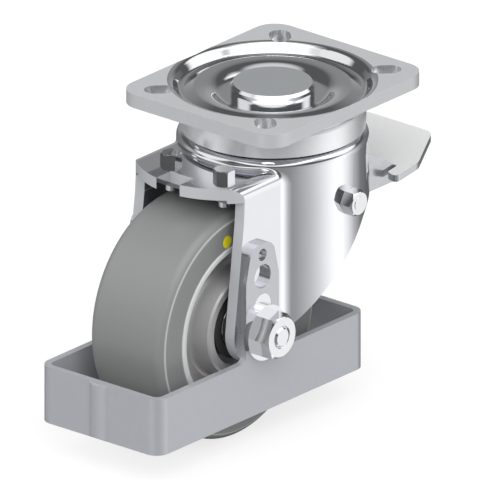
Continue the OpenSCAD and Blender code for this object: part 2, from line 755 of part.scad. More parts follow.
// A tab bent in from a cheek. It is drawn where the pressed pedal holds it, upright in a
// notch of the lock ring, and turned back to the free pedal
module lock_tab() {
    x = tab_r0 * cos(tab_turn);
    translate([pivot_x, 0, pivot_z]) rotate([0, -pedal_swing, 0])
        translate([-pivot_x, 0, -pivot_z]) {
            translate([x - tab_l, neck_in_y - over / 2, pivot_z - tab_l])
                cube([pivot_x - x + tab_l, pedal_t / 2 + over / 2, 2 * tab_l]);
            rotate(tab_turn) translate([tab_r0, -tab_w / 2 - tab_lag, pivot_z])
                cube([tab_l, tab_w, tab_top_z - pivot_z]);
            translate([x - tab_l, tab_r0 * sin(tab_turn), pivot_z - tab_l / 2])
                cube([2 * tab_l, neck_in_y - tab_r0 * sin(tab_turn), tab_l]);
        }
}

module cam_roller() {
    color(steel) difference() {
        y_rod(cam_roller_r, -neck_in_y + 0.3, neck_in_y - 0.3, cam_x, cam_z);
        y_rod(cam_pin_r + fit_gap, -neck_y, neck_y, cam_x, cam_z);
    }
}

module cam_pin() {
    color(steel) y_rod(cam_pin_r, -neck_y - 0.4, neck_y + 0.4, cam_x, cam_z);
}

module pivot_bolt() {
    color(zinc) {
        y_rod(pivot_r, -crown_r - pivot_nut_h - 0.2, crown_r + 0.5, pivot_x, pivot_z);
        y_hex(pivot_nut_af, crown_r, crown_r + pivot_head_h, pivot_x, pivot_z, 1);
    }
}

module pivot_nut() {
    color(zinc) difference() {
        y_hex(pivot_nut_af, -crown_r - pivot_nut_h, -crown_r, pivot_x, pivot_z, -1);
        y_rod(pivot_r + fit_gap, -2 * crown_r, 0, pivot_x, pivot_z);
    }
}

// Spacers between the pedal's cheeks and the fork
module pivot_bushes() {
    color(steel) both_sides() difference() {
        y_rod(bush_r, neck_y + 0.3, bush_end_y, pivot_x, pivot_z);
        y_rod(pivot_r + fit_gap, 0, crown_r, pivot_x, pivot_z);
    }
}

// Plan outline of the guard band, inset from its outer face
module guard_plan(inset) {
    l = guard_half_l - inset;
    w = guard_y - inset;
    r = guard_corner_r - inset;
    arc_outline([[-l, -w, r], [l, -w, r], [l, w, r], [-l, w, r]]);
}

// Side outline of one ear of the guard, with its foot blended into the band
module ear_outline() {
    nose = 6.8;
    nose_r = 6;
    taper_z = ear_top - 15.5;
    taper_r = 16;
    foot_w = ear_half_w + ear_fillet_r + over;
    low = guard_top - 2 * over;
    polygon(rounded([[-foot_w, low], [foot_w, low], [foot_w, guard_top],
        [ear_half_w, guard_top, ear_fillet_r], [ear_half_w, taper_z, taper_r],
        [nose, ear_top, nose_r], [-nose, ear_top, nose_r], [-ear_half_w, taper_z, taper_r],
        [-ear_half_w, guard_top, ear_fillet_r], [-foot_w, guard_top]], 10));
}

module foot_guard() {
    color(guard_grey) difference() {
        translate([axle_x, 0, 0]) union() {
            translate([0, 0, guard_low]) linear_extrude(guard_h) difference() {
                guard_plan(0);
                guard_plan(guard_t);
            }
            both_sides() translate([0, guard_y, 0]) rotate([90, 0, 0])
                linear_extrude(guard_t) ear_outline();
            intersection() {
                translate([-guard_half_l - bead_proud + bead_r, 0, guard_low])
                    cylinder(r = bead_r, h = guard_h);
                y_slab(bead_w) arc_outline([[bead_front, guard_low + bead_inset, bead_end_r],
                    [bead_back, guard_low + bead_inset], [bead_back, guard_top - bead_inset],
                    [bead_front, guard_top - bead_inset, bead_end_r]]);
            }
        }
        y_rod(axle_d / 2 + fit_gap, -crown_r, crown_r, axle_x, axle_z);
        y_rod(pin_d / 2 + fit_gap, -crown_r, crown_r, axle_x, pin_z);
        y_rod(pin_d / 2, -crown_r, crown_r, axle_x, spare_z);
        y_rod(small_hole_d / 2, -crown_r, crown_r, axle_x, small_hole_z);
    }
}

// Pins that hold each ear in line with its leg
module guard_pins() {
    color(zinc) both_sides() y_rod(pin_d / 2, leg_in_y, guard_y, axle_x, pin_z);
}

module axle_bolt() {
    seat = guard_y + axle_washer_t;
    color(zinc) {
        translate([axle_x, -axle_end_y - 0.4, axle_z]) rotate([-90, 0, 0])
            rotate_extrude() polygon([[0, 0], [axle_d / 2 - 1.4, 0], [axle_d / 2, 1.4],
                [axle_d / 2, axle_end_y + seat + 0.5], [0, axle_end_y + seat + 0.5]]);
        y_hex(axle_nut_af, seat, seat + axle_nut_h - 0.7, axle_x, axle_z, 1);
    }
}

module axle_nut() {
    color(zinc) difference() {
        y_hex(axle_nut_af, -axle_end_y, -guard_y - axle_washer_t, axle_x, axle_z, -1);
        y_rod(axle_d / 2 + fit_gap, -2 * axle_end_y, 0, axle_x, axle_z);
    }
}

module axle_washers() {
    color(zinc) both_sides() difference() {
        y_rod(axle_washer_d / 2, guard_y, guard_y + axle_washer_t, axle_x, axle_z);
        y_rod(axle_d / 2 + fit_gap, 0, 2 * guard_y, axle_x, axle_z);
    }
}

// Tube clamped between the fork legs, which carries the bearings
module axle_tube() {
    color(steel) difference() {
        y_rod(tube_r, -leg_in_y, leg_in_y, axle_x, axle_z);
        y_rod(axle_d / 2 + fit_gap, -leg_y, leg_y, axle_x, axle_z);
    }
}

module bearing_spacer() {
    color(steel) about_axle() translate([bearing_bore_r, -bearing_in_y])
        square([ring_wall, 2 * bearing_in_y]);
}

module end_collars() {
    color(steel) both_sides() about_axle() translate([bearing_bore_r, bearing_out_y])
        square([collar_r - bearing_bore_r, leg_in_y - bearing_out_y]);
}

// Section of one bearing ring between two radii, grooved for the balls
module ring_section(r0, r1) {
    difference() {
        translate([r0, bearing_in_y]) square([r1 - r0, bearing_w]);
        translate([ball_pitch_r, bearing_in_y + bearing_w / 2]) circle(r = ball_r + run_gap);
    }
}

module bearing_inner_rings() {
    color(steel) both_sides() about_axle()
        ring_section(bearing_bore_r, bearing_bore_r + ring_wall);
}

module bearing_outer_rings() {
    color(steel) both_sides() about_axle() ring_section(bearing_r - ring_wall, bearing_r);
}

module bearing_balls() {
    color(steel) both_sides() translate([axle_x, bearing_in_y + bearing_w / 2, axle_z])
        for (i = [0:balls_n - 1]) rotate([0, 360 * i / balls_n, 0])
            translate([ball_pitch_r, 0, 0]) sphere(r = ball_r, $fn = 32);
}

module bearing_shields() {
    color(dark_steel) both_sides() about_axle()
        translate([bearing_bore_r + ring_wall + 0.3, bearing_out_y - 1.2])
            square([bearing_r - bearing_bore_r - 2 * ring_wall - 0.3, 0.8]);
}

// Cast wheel centre: hub with two bearing seats, dished web, rim
module wheel_centre() {
    half = [[bearing_r - 1.2, bearing_in_y], [bearing_r, bearing_in_y],
        [bearing_r, hub_l / 2 - 0.6], [bearing_r + 0.6, hub_l / 2], [hub_r - 0.8, hub_l / 2],
        [hub_r, hub_l / 2 - 0.8], [hub_r + 1.2, web_in_y, 2.5], [lip_r - 2.2, web_out_y, 2.5],
        [lip_r - 0.8, rim_y], [centre_r, rim_y]];
    color(dark_steel) about_axle() arc_outline(both_halves(half));
}

// Solid tyre on the rim, with a rounded shoulder and a lip over the rim's edge
module tyre() {
    half = [[centre_r, rim_y], [lip_r, rim_y], [lip_r, wheel_y + lip_proud, 1],
        [lip_r + lip_w, wheel_y + lip_proud, 1], [lip_r + lip_w, wheel_y],
        [wheel_r, wheel_y, shoulder_r]];
    color(rubber_grey) difference() {
        about_axle() arc_outline(both_halves(half));
        y_rod(dot_d / 2, -wheel_y - over, -wheel_y + 1, dot_x, dot_z);
    }
}

// A coloured dot let into the tyre's side
module marker_dot() {
    color([0.87, 0.82, 0.06]) y_rod(dot_d / 2, -wheel_y + 0.1, -wheel_y + 1, dot_x, dot_z);
}

mount_plate();
kingpin();
dust_ring();
kingpin_sleeve();
lower_race();
lock_ring();
kingpin_nut();
fork();
upper_race();
upper_balls();
lower_balls();
flange_screws();
clamp_plate();
brake_spring();
brake_shoe();
brake_pedal();
cam_roller();
cam_pin();
pivot_bolt();
pivot_nut();
pivot_bushes();
foot_guard();
guard_pins();
axle_bolt();
axle_nut();
axle_washers();
axle_tube();
bearing_spacer();
end_collars();
bearing_inner_rings();
bearing_balls();
bearing_shields();
bearing_outer_rings();
wheel_centre();
tyre();
marker_dot();
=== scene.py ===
"""Dresses the swivel castor and puts it into a pale studio.

Every piece gets its finish. Two pieces are made here: the fillet at the root of the fork's crown,
and the leaf spring, copied from its solid.

All sizes are in metres in the part's own frame: the origin is the centre of the mounting face,
+Z is up, the wheel trails towards -X and the pedal points towards +X.
"""

import logging
import math
from dataclasses import dataclass
from enum import Enum

import bmesh
import bpy
import numpy as np
from mathutils import Matrix, Vector

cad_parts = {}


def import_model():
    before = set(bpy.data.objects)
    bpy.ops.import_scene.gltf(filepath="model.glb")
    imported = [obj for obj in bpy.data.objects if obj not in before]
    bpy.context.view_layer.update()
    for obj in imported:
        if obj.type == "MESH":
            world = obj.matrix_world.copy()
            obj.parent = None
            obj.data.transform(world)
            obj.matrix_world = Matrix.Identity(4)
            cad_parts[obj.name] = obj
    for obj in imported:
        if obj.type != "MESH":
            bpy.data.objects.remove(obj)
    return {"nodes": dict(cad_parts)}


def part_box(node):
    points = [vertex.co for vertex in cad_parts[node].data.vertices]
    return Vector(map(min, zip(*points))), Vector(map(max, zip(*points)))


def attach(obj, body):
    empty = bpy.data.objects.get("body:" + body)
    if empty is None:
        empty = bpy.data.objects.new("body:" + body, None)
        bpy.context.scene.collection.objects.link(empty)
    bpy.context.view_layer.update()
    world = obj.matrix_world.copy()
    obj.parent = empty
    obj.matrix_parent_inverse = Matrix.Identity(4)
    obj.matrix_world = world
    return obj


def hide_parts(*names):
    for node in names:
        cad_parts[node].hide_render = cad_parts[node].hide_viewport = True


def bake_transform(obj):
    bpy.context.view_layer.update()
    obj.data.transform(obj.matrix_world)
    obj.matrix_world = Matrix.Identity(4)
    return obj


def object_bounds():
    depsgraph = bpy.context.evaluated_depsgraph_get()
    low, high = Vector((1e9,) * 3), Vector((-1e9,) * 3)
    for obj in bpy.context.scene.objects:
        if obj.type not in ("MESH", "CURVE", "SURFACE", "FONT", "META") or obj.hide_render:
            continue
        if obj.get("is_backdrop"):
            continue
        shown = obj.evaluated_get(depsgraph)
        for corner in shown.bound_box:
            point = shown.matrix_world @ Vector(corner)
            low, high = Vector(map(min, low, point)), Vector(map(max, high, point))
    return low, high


LOG = logging.getLogger("castor")
MM = 0.001

# What a node's input or output is, and what holds a place, a direction or a colour
Socket = bpy.types.NodeSocket
Point = tuple[float, float, float]


class Body(Enum):
    """The bodies of the castor that move on each other."""

    MOUNT = "mount"
    SWIVEL = "swivel"
    WHEEL = "wheel"
    PEDAL = "pedal"
    BRAKE = "brake"


class Grain(Enum):
    """How a surface differs from place to place."""

    PLATED = "plated"
    SATIN = "satin"
    CAST = "cast"
    MOULDED = "moulded"


class Measure(Enum):
    """What tells a piece's two surfaces apart.

    DISH is the distance from the swivel axis, with the plate's upright faces beyond the limit
    and the slots' walls part of the way. UPRIGHT is 1 on upright faces and 0 on others. HEIGHT
    is the height. FORWARD is how far forward a surface lies and faces, which picks out the cut
    front edges of the fork. AXLE is the distance from the wheel's axis, with a thin painted
    highlight line on the tyre's shoulder inside the limit too.
    """

    DISH = "dish"
    UPRIGHT = "upright"
    HEIGHT = "height"
    FORWARD = "forward"
    AXLE = "axle"


# A surface that faces straight forward counts as lying this much further forward
FACING_WORTH = 30.0 * MM
# A face counts as upright where its normal's z is less than this
UPRIGHT_TILT = 0.3
# A point on the swivel axis, and what keeps only the way across that axis
SWIVEL_PLACE = (0.0, 0.0, 0.0)
ACROSS_SWIVEL = (1.0, 1.0, 0.0)
# The same for the wheel's axis, and the radius and half width of the painted shoulder highlight
AXLE_PLACE = (-45.0 * MM, 0.0, -90.0 * MM)
ACROSS_AXLE = (1.0, 0.0, 1.0)
SHOULDER_HIGHLIGHT_RADIUS = 47.3 * MM
HIGHLIGHT_HALF_WIDTH = 0.2 * MM
# Middle of the slot in the quarter +x, +y, and the distance that all its wall lies within
SLOT_PLACE = (38.75 * MM, 28.75 * MM, 0.0)
SLOT_REACH = 8.0 * MM
# How far short of half way the slots' walls stand, as a share of the spread
SLOT_SHARE = 0.4
# How much the gloss varies to each side, and the detail of the noise
GLOSS_SWING = 0.1
GRAIN_DETAIL = 4.0
# Noise scale in 1/m, and bump strength and height where the grain stands proud
GRAIN_HEIGHT = 0.1 * MM
GRAIN_SCALE = {Grain.PLATED: 60.0, Grain.SATIN: 400.0, Grain.CAST: 900.0, Grain.MOULDED: 700.0}
GRAIN_BUMP = {Grain.CAST: 0.25, Grain.MOULDED: 0.1}


def number_node(
    tree: bpy.types.NodeTree, operation: str, first: Socket, second: Socket | float | None = None
) -> Socket:
    """Adds a node that works on one or two numbers.

    Args:
        tree: The node tree.
        operation: The operation's name.
        first: The first number.
        second: The second number, as a socket or a constant, where there is one.

    Returns:
        The socket with the result.
    """
    node = tree.nodes.new("ShaderNodeMath")
    node.operation = operation
    tree.links.new(first, node.inputs[0])
    if isinstance(second, float):
        node.inputs[1].default_value = second
    elif second is not None:
        tree.links.new(second, node.inputs[1])
    return node.outputs["Value"]


def vector_node(
    tree: bpy.types.NodeTree, operation: str, first: Socket, second: Point | None = None
) -> bpy.types.bpy_prop_collection:
    """Adds a node that works on a vector, alone or with a constant one.

    Args:
        tree: The node tree.
        operation: The operation's name.
        first: The vector.
        second: The constant vector, where there is one.

    Returns:
        The node's outputs, Vector and Value.
    """
    node = tree.nodes.new("ShaderNodeVectorMath")
    node.operation = operation
    tree.links.new(first, node.inputs[0])
    if second is not None:
        node.inputs[1].default_value = second
    return node.outputs


def range_node(
    tree: bpy.types.NodeTree,
    value: Socket,
    before: tuple[float, float] = (0.0, 1.0),
    after: tuple[float, float] = (0.0, 1.0),
    smooth: bool = False,
) -> Socket:
    """Adds a node that takes one range of numbers to another.

    Args:
        tree: The node tree.
        value: The number.
        before: The ends of the range that it comes in.
        after: What the ends become.
        smooth: Whether it eases in and out.

    Returns:
        The socket with the result.
    """
    node = tree.nodes.new("ShaderNodeMapRange")
    if smooth:
        node.interpolation_type = "SMOOTHSTEP"
    node.inputs["From Min"].default_value, node.inputs["From Max"].default_value = before
    node.inputs["To Min"].default_value, node.inputs["To Max"].default_value = after
    tree.links.new(value, node.inputs["Value"])
    return node.outputs["Result"]


def mix_node(
    tree: bpy.types.NodeTree, share: Socket, first: Socket, second: Socket | float
) -> Socket:
    """Adds a node that blends two numbers.

    Args:
        tree: The node tree.
        share: 0 gives the first number, 1 the second.
        first: The first number.
        second: The second number, as a socket or a constant.

    Returns:
        The socket with the blend.
    """
    node = tree.nodes.new("ShaderNodeMix")
    node.data_type = "FLOAT"
    tree.links.new(share, node.inputs["Factor"])
    tree.links.new(first, node.inputs["A"])
    if isinstance(second, float):
        node.inputs["B"].default_value = second
    else:
        tree.links.new(second, node.inputs["B"])
    return node.outputs["Result"]


def split_axes(tree: bpy.types.NodeTree, vector: Socket) -> bpy.types.bpy_prop_collection:
    """Adds a node that splits a vector.

    Args:
        tree: The node tree.
        vector: The vector.

    Returns:
        The node's outputs, X, Y and Z.
    """
    node = tree.nodes.new("ShaderNodeSeparateXYZ")
    tree.links.new(vector, node.inputs["Vector"])
    return node.outputs


def axis_distance(
    tree: bpy.types.NodeTree, point: Socket, centre: Point, plane: Point
) -> Socket:
    """Adds the nodes for the distance from an axis.

    Args:
        tree: The node tree.
        point: The place in the object.
        centre: A point on the axis.
        plane: 1 for the two axes across it, 0 for the one along it.

    Returns:
        The socket with the distance in metres.
    """
    offset = vector_node(tree, "SUBTRACT", point, centre)["Vector"]
    across = vector_node(tree, "MULTIPLY", offset, plane)["Vector"]
    return vector_node(tree, "LENGTH", across)["Value"]


@dataclass(frozen=True)
class Finish:
    """The look of one material: its colour, gloss and grain.

    A finish may hold a second one, which takes over where the measure passes the limit, within
    the spread to both sides of it.
    """

    name: str
    colour: Point
    roughness: float
    metallic: float = 1.0
    grain: Grain = Grain.PLATED
    specular: float = 0.5
    mottle: float = 0.03
    beyond: "Finish | None" = None
    measure: Measure = Measure.DISH
    limit: float = 0.0
    spread: float = 0.05 * MM

    def material(self) -> bpy.types.Material:
        """Makes the material, or returns the one made before.

        Returns:
            The material with this finish's name.
        """
        name = f"{self.name} finish"
        known = bpy.data.materials.get(name)
        if known:
            return known
        made = bpy.data.materials.new(name)
        made.use_nodes = True
        nodes, links = made.node_tree.nodes, made.node_tree.links
        shader = nodes["Principled BSDF"]
        shader.inputs["Metallic"].default_value = self.metallic
        shader.inputs["Specular IOR Level"].default_value = self.specular
        place = nodes.new("ShaderNodeTexCoord")
        cloud = nodes.new("ShaderNodeTexNoise")
        cloud.inputs["Scale"].default_value = GRAIN_SCALE[self.grain]
        cloud.inputs["Detail"].default_value = GRAIN_DETAIL
        links.new(place.outputs["Object"], cloud.inputs["Vector"])
        tint = range_node(
            made.node_tree, cloud.outputs["Fac"], after=(1.0 - self.mottle, 1.0 + self.mottle)
        )
        paint = nodes.new("ShaderNodeVectorMath")
        paint.operation = "SCALE"
        paint.inputs[0].default_value = self.colour
        links.new(tint, paint.inputs["Scale"])
        links.new(paint.outputs["Vector"], shader.inputs["Base Color"])
        if self.beyond:
            self.add_beyond(made.node_tree, shader, paint)
        else:
            swing = (self.roughness * (1.0 - GLOSS_SWING), self.roughness * (1.0 + GLOSS_SWING))
            gloss = range_node(made.node_tree, cloud.outputs["Fac"], after=swing)
            links.new(gloss, shader.inputs["Roughness"])
        if self.grain in GRAIN_BUMP:
            bump = nodes.new("ShaderNodeBump")
            bump.inputs["Strength"].default_value = GRAIN_BUMP[self.grain]
            bump.inputs["Distance"].default_value = GRAIN_HEIGHT
            links.new(cloud.outputs["Fac"], bump.inputs["Height"])
            links.new(bump.outputs["Normal"], shader.inputs["Normal"])
        return made

    def add_beyond(
        self,
        tree: bpy.types.NodeTree,
        shader: bpy.types.ShaderNode,
        paint: bpy.types.ShaderNode,
    ) -> None:
        """Adds the nodes that change over to the second finish.

        Args:
            tree: The material's node tree.
            shader: The node with the roughness and the metallic share.
            paint: The node that takes the colour.
        """
        share = self.share_beyond(tree)
        colour = tree.nodes.new("ShaderNodeMix")
        colour.data_type = "RGBA"
        colour.inputs["A"].default_value = (*self.colour, 1.0)
        colour.inputs["B"].default_value = (*self.beyond.colour, 1.0)
        tree.links.new(share, colour.inputs["Factor"])
        tree.links.new(colour.outputs["Result"], paint.inputs[0])
        for name, levels in (
            ("Roughness", (self.roughness, self.beyond.roughness)),
            ("Metallic", (self.metallic, self.beyond.metallic)),
        ):
            tree.links.new(range_node(tree, share, after=levels), shader.inputs[name])

    def share_beyond(self, tree: bpy.types.NodeTree) -> Socket:
        """Adds the nodes that say where the second finish holds.

        Args:
            tree: The material's node tree.

        Returns:
            A socket that is 0 up to the limit and 1 beyond it.
        """
        place = tree.nodes.new("ShaderNodeTexCoord")
        point, normal = place.outputs["Object"], place.outputs["Normal"]
        if self.measure is Measure.HEIGHT:
            value = split_axes(tree, point)["Z"]
        elif self.measure is Measure.AXLE:
            # The lip is lighter inside the limit, and a highlight line is painted along the
            # tyre's shoulder
            radius = axis_distance(tree, point, AXLE_PLACE, ACROSS_AXLE)
            from_highlight = number_node(tree, "SUBTRACT", radius, SHOULDER_HIGHLIGHT_RADIUS)
            apart = number_node(tree, "ABSOLUTE", from_highlight)
            beside = number_node(tree, "ADD", apart, self.limit - HIGHLIGHT_HALF_WIDTH)
            value = number_node(tree, "MINIMUM", radius, beside)
        elif self.measure is Measure.FORWARD:
            facing = split_axes(tree, normal)["X"]
            worth = number_node(tree, "MULTIPLY", facing, -FACING_WORTH)
            value = number_node(tree, "SUBTRACT", worth, split_axes(tree, point)["X"])
        else:
            tilt = number_node(tree, "ABSOLUTE", split_axes(tree, normal)["Z"])
            value = number_node(tree, "LESS_THAN", tilt, UPRIGHT_TILT)
        if self.measure is Measure.DISH:
            folded = vector_node(tree, "ABSOLUTE", point)["Vector"]
            from_slot = axis_distance(tree, folded, SLOT_PLACE, ACROSS_SWIVEL)
            outside = number_node(tree, "GREATER_THAN", from_slot, SLOT_REACH)
            level = number_node(tree, "ADD", outside, self.limit - SLOT_SHARE * self.spread)
            radius = axis_distance(tree, point, SWIVEL_PLACE, ACROSS_SWIVEL)
            value = mix_node(tree, value, radius, level)
        return range_node(tree, value, (self.limit - self.spread, self.limit + self.spread))


EDGE_ZINC = Finish("edge_zinc", (0.64, 0.65, 0.68), 0.45, metallic=0.3, grain=Grain.SATIN)
BRIGHT_ZINC = Finish(
    "bright_zinc", (0.82, 0.83, 0.86), 0.05, beyond=EDGE_ZINC, measure=Measure.FORWARD,
    limit=70.5 * MM,
)
SATIN_ZINC = Finish("satin_zinc", (0.65, 0.66, 0.68), 0.45, metallic=0.35, grain=Grain.SATIN)
PLATE_ZINC = Finish("plate_zinc", (0.82, 0.83, 0.85), 0.05, beyond=SATIN_ZINC, limit=43.75 * MM)
TURNED_STEEL = Finish("turned_steel", (0.41, 0.43, 0.44), 0.45, metallic=0.4)
KINGPIN_STEEL = Finish(
    "kingpin_steel", (0.82, 0.83, 0.85), 0.07, beyond=TURNED_STEEL, measure=Measure.HEIGHT,
    limit=-0.9 * MM,
)
RING_ZINC = Finish("ring_zinc", (0.93, 0.94, 0.96), 0.3, metallic=0.6, grain=Grain.SATIN)
FASTENER_ZINC = Finish("fastener_zinc", (0.84, 0.85, 0.87), 0.08)
PEDAL_EDGE = Finish("pedal_edge", (0.60, 0.61, 0.64), 0.2, metallic=0.8)
PEDAL_ZINC = Finish(
    "pedal_zinc", (0.98, 0.985, 0.99), 0.4, metallic=0.2, grain=Grain.SATIN, beyond=PEDAL_EDGE,
    measure=Measure.UPRIGHT, limit=0.5,
)
EAR_ZINC = Finish("ear_zinc", (0.56, 0.57, 0.60), 0.2, metallic=0.85)
GUARD_ZINC = Finish(
    "guard_zinc", (0.52, 0.53, 0.57), 0.3, metallic=0.3, grain=Grain.SATIN, beyond=EAR_ZINC,
    measure=Measure.HEIGHT, limit=-93.0 * MM, spread=6.0 * MM,
)
BEARING_STEEL = Finish("bearing_steel", (0.70, 0.71, 0.73), 0.15)
SPRING_STEEL = Finish("spring_steel", (0.30, 0.30, 0.32), 0.35)
BEARING_SEAL = Finish("bearing_seal", (0.06, 0.06, 0.06), 0.5, metallic=0.0)
CAST_ALLOY = Finish("cast_alloy", (0.575, 0.568, 0.572), 0.42, metallic=0.5, grain=Grain.CAST)
TREAD_RUBBER = Finish(
    "tread_rubber", (0.26, 0.268, 0.267), 0.38, metallic=0.0, grain=Grain.MOULDED, specular=0.6
)
# Lighter rubber on the lip and on a painted highlight line round the shoulder; tread rubber
# elsewhere
LIP_AND_HIGHLIGHT_RUBBER = Finish(
    "grey_rubber", (0.74, 0.76, 0.755), 0.38, metallic=0.0, grain=Grain.MOULDED, specular=0.6,
    beyond=TREAD_RUBBER, measure=Measure.AXLE, limit=36.6 * MM, spread=0.4 * MM,
)
YELLOW_PAINT = Finish("yellow_paint", (0.93, 0.83, 0.02), 0.4, metallic=0.0)


def mesh_object(
    name: str, points: np.ndarray, faces: np.ndarray, sharp_deg: float = 30.0
) -> bpy.types.Object:
    """Puts points and faces into a new object at the origin.

    Args:
        name: The piece's name.
        points: The vertices, one row each, in metres.
        faces: The vertex numbers of each face, one row each.
        sharp_deg: Edges that turn by more than this many degrees stay sharp.

    Returns:
        The new object, linked to the scene.
    """
    mesh = bpy.data.meshes.new(name)
    mesh.from_pydata(points.tolist(), [], [list(map(int, f)) for f in faces])
    mesh.validate()
    mesh.shade_smooth()
    mesh.set_sharp_from_angle(angle=math.radians(sharp_deg))
    made = bpy.data.objects.new(name, mesh)
    bpy.context.scene.collection.objects.link(made)
    return made


def tube_faces(rings: int, around: int) -> np.ndarray:
    """Makes the quads of a closed tube whose vertices run ring after ring.

    Args:
        rings: The number of rings along the tube.
        around: The number of vertices in a ring.

    Returns:
        The four vertex numbers of each quad.
    """
    i, j = np.meshgrid(np.arange(rings - 1), np.arange(around), indexing="ij")
    k = (j + 1) % around
    quads = np.stack(
        [i * around + j, i * around + k, (i + 1) * around + k, (i + 1) * around + j], axis=-1
    )
    return quads.reshape(-1, 4)


@dataclass
class SubAssembly:
    """A group of pieces that a maker would put together on the bench."""

    nodes: dict[str, bpy.types.Object]

    def finishes(self) -> dict[str, Finish]:
        """Names the finish of each of its nodes.

        Returns:
            The finishes by node.
        """
        return {}

    def build(self) -> list[bpy.types.Object]:
        """Makes the pieces that the solids lack.

        Returns:
            The new pieces.
        """
        return []

    def dress(self) -> None:
        """Builds its own pieces and gives every node its finish."""
        for piece in self.build():
            LOG.info("made %s", piece.name)
        for node, finish in self.finishes().items():
            piece = self.nodes[node]
            piece.data.materials.clear()
            piece.data.materials.append(finish.material())
            LOG.info("dressed %s in %s", node, finish.name)


@dataclass
class MountingPlate(SubAssembly):
    """The slotted top plate with its dish, the kingpin and the dust ring."""

    def finishes(self) -> dict[str, Finish]:
        """Names the finish of each of its nodes.

        Returns:
            The finishes by node.
        """
        return {
            "mount_plate": PLATE_ZINC,
            "kingpin": KINGPIN_STEEL,
            "dust_ring": RING_ZINC,
            "kingpin_sleeve": BEARING_STEEL,
            "kingpin_nut": FASTENER_ZINC,
        }


@dataclass
class SwivelHead(SubAssembly):
    """The two ball rows, their races and the lock ring."""

    def finishes(self) -> dict[str, Finish]:
        """Names the finish of each of its nodes.

        Returns:
            The finishes by node.
        """
        return {
            "lower_race": BEARING_STEEL,
            "lock_ring": BEARING_STEEL,
            "upper_race": BEARING_STEEL,
            "upper_balls": BEARING_STEEL,
            "lower_balls": BEARING_STEEL,
        }


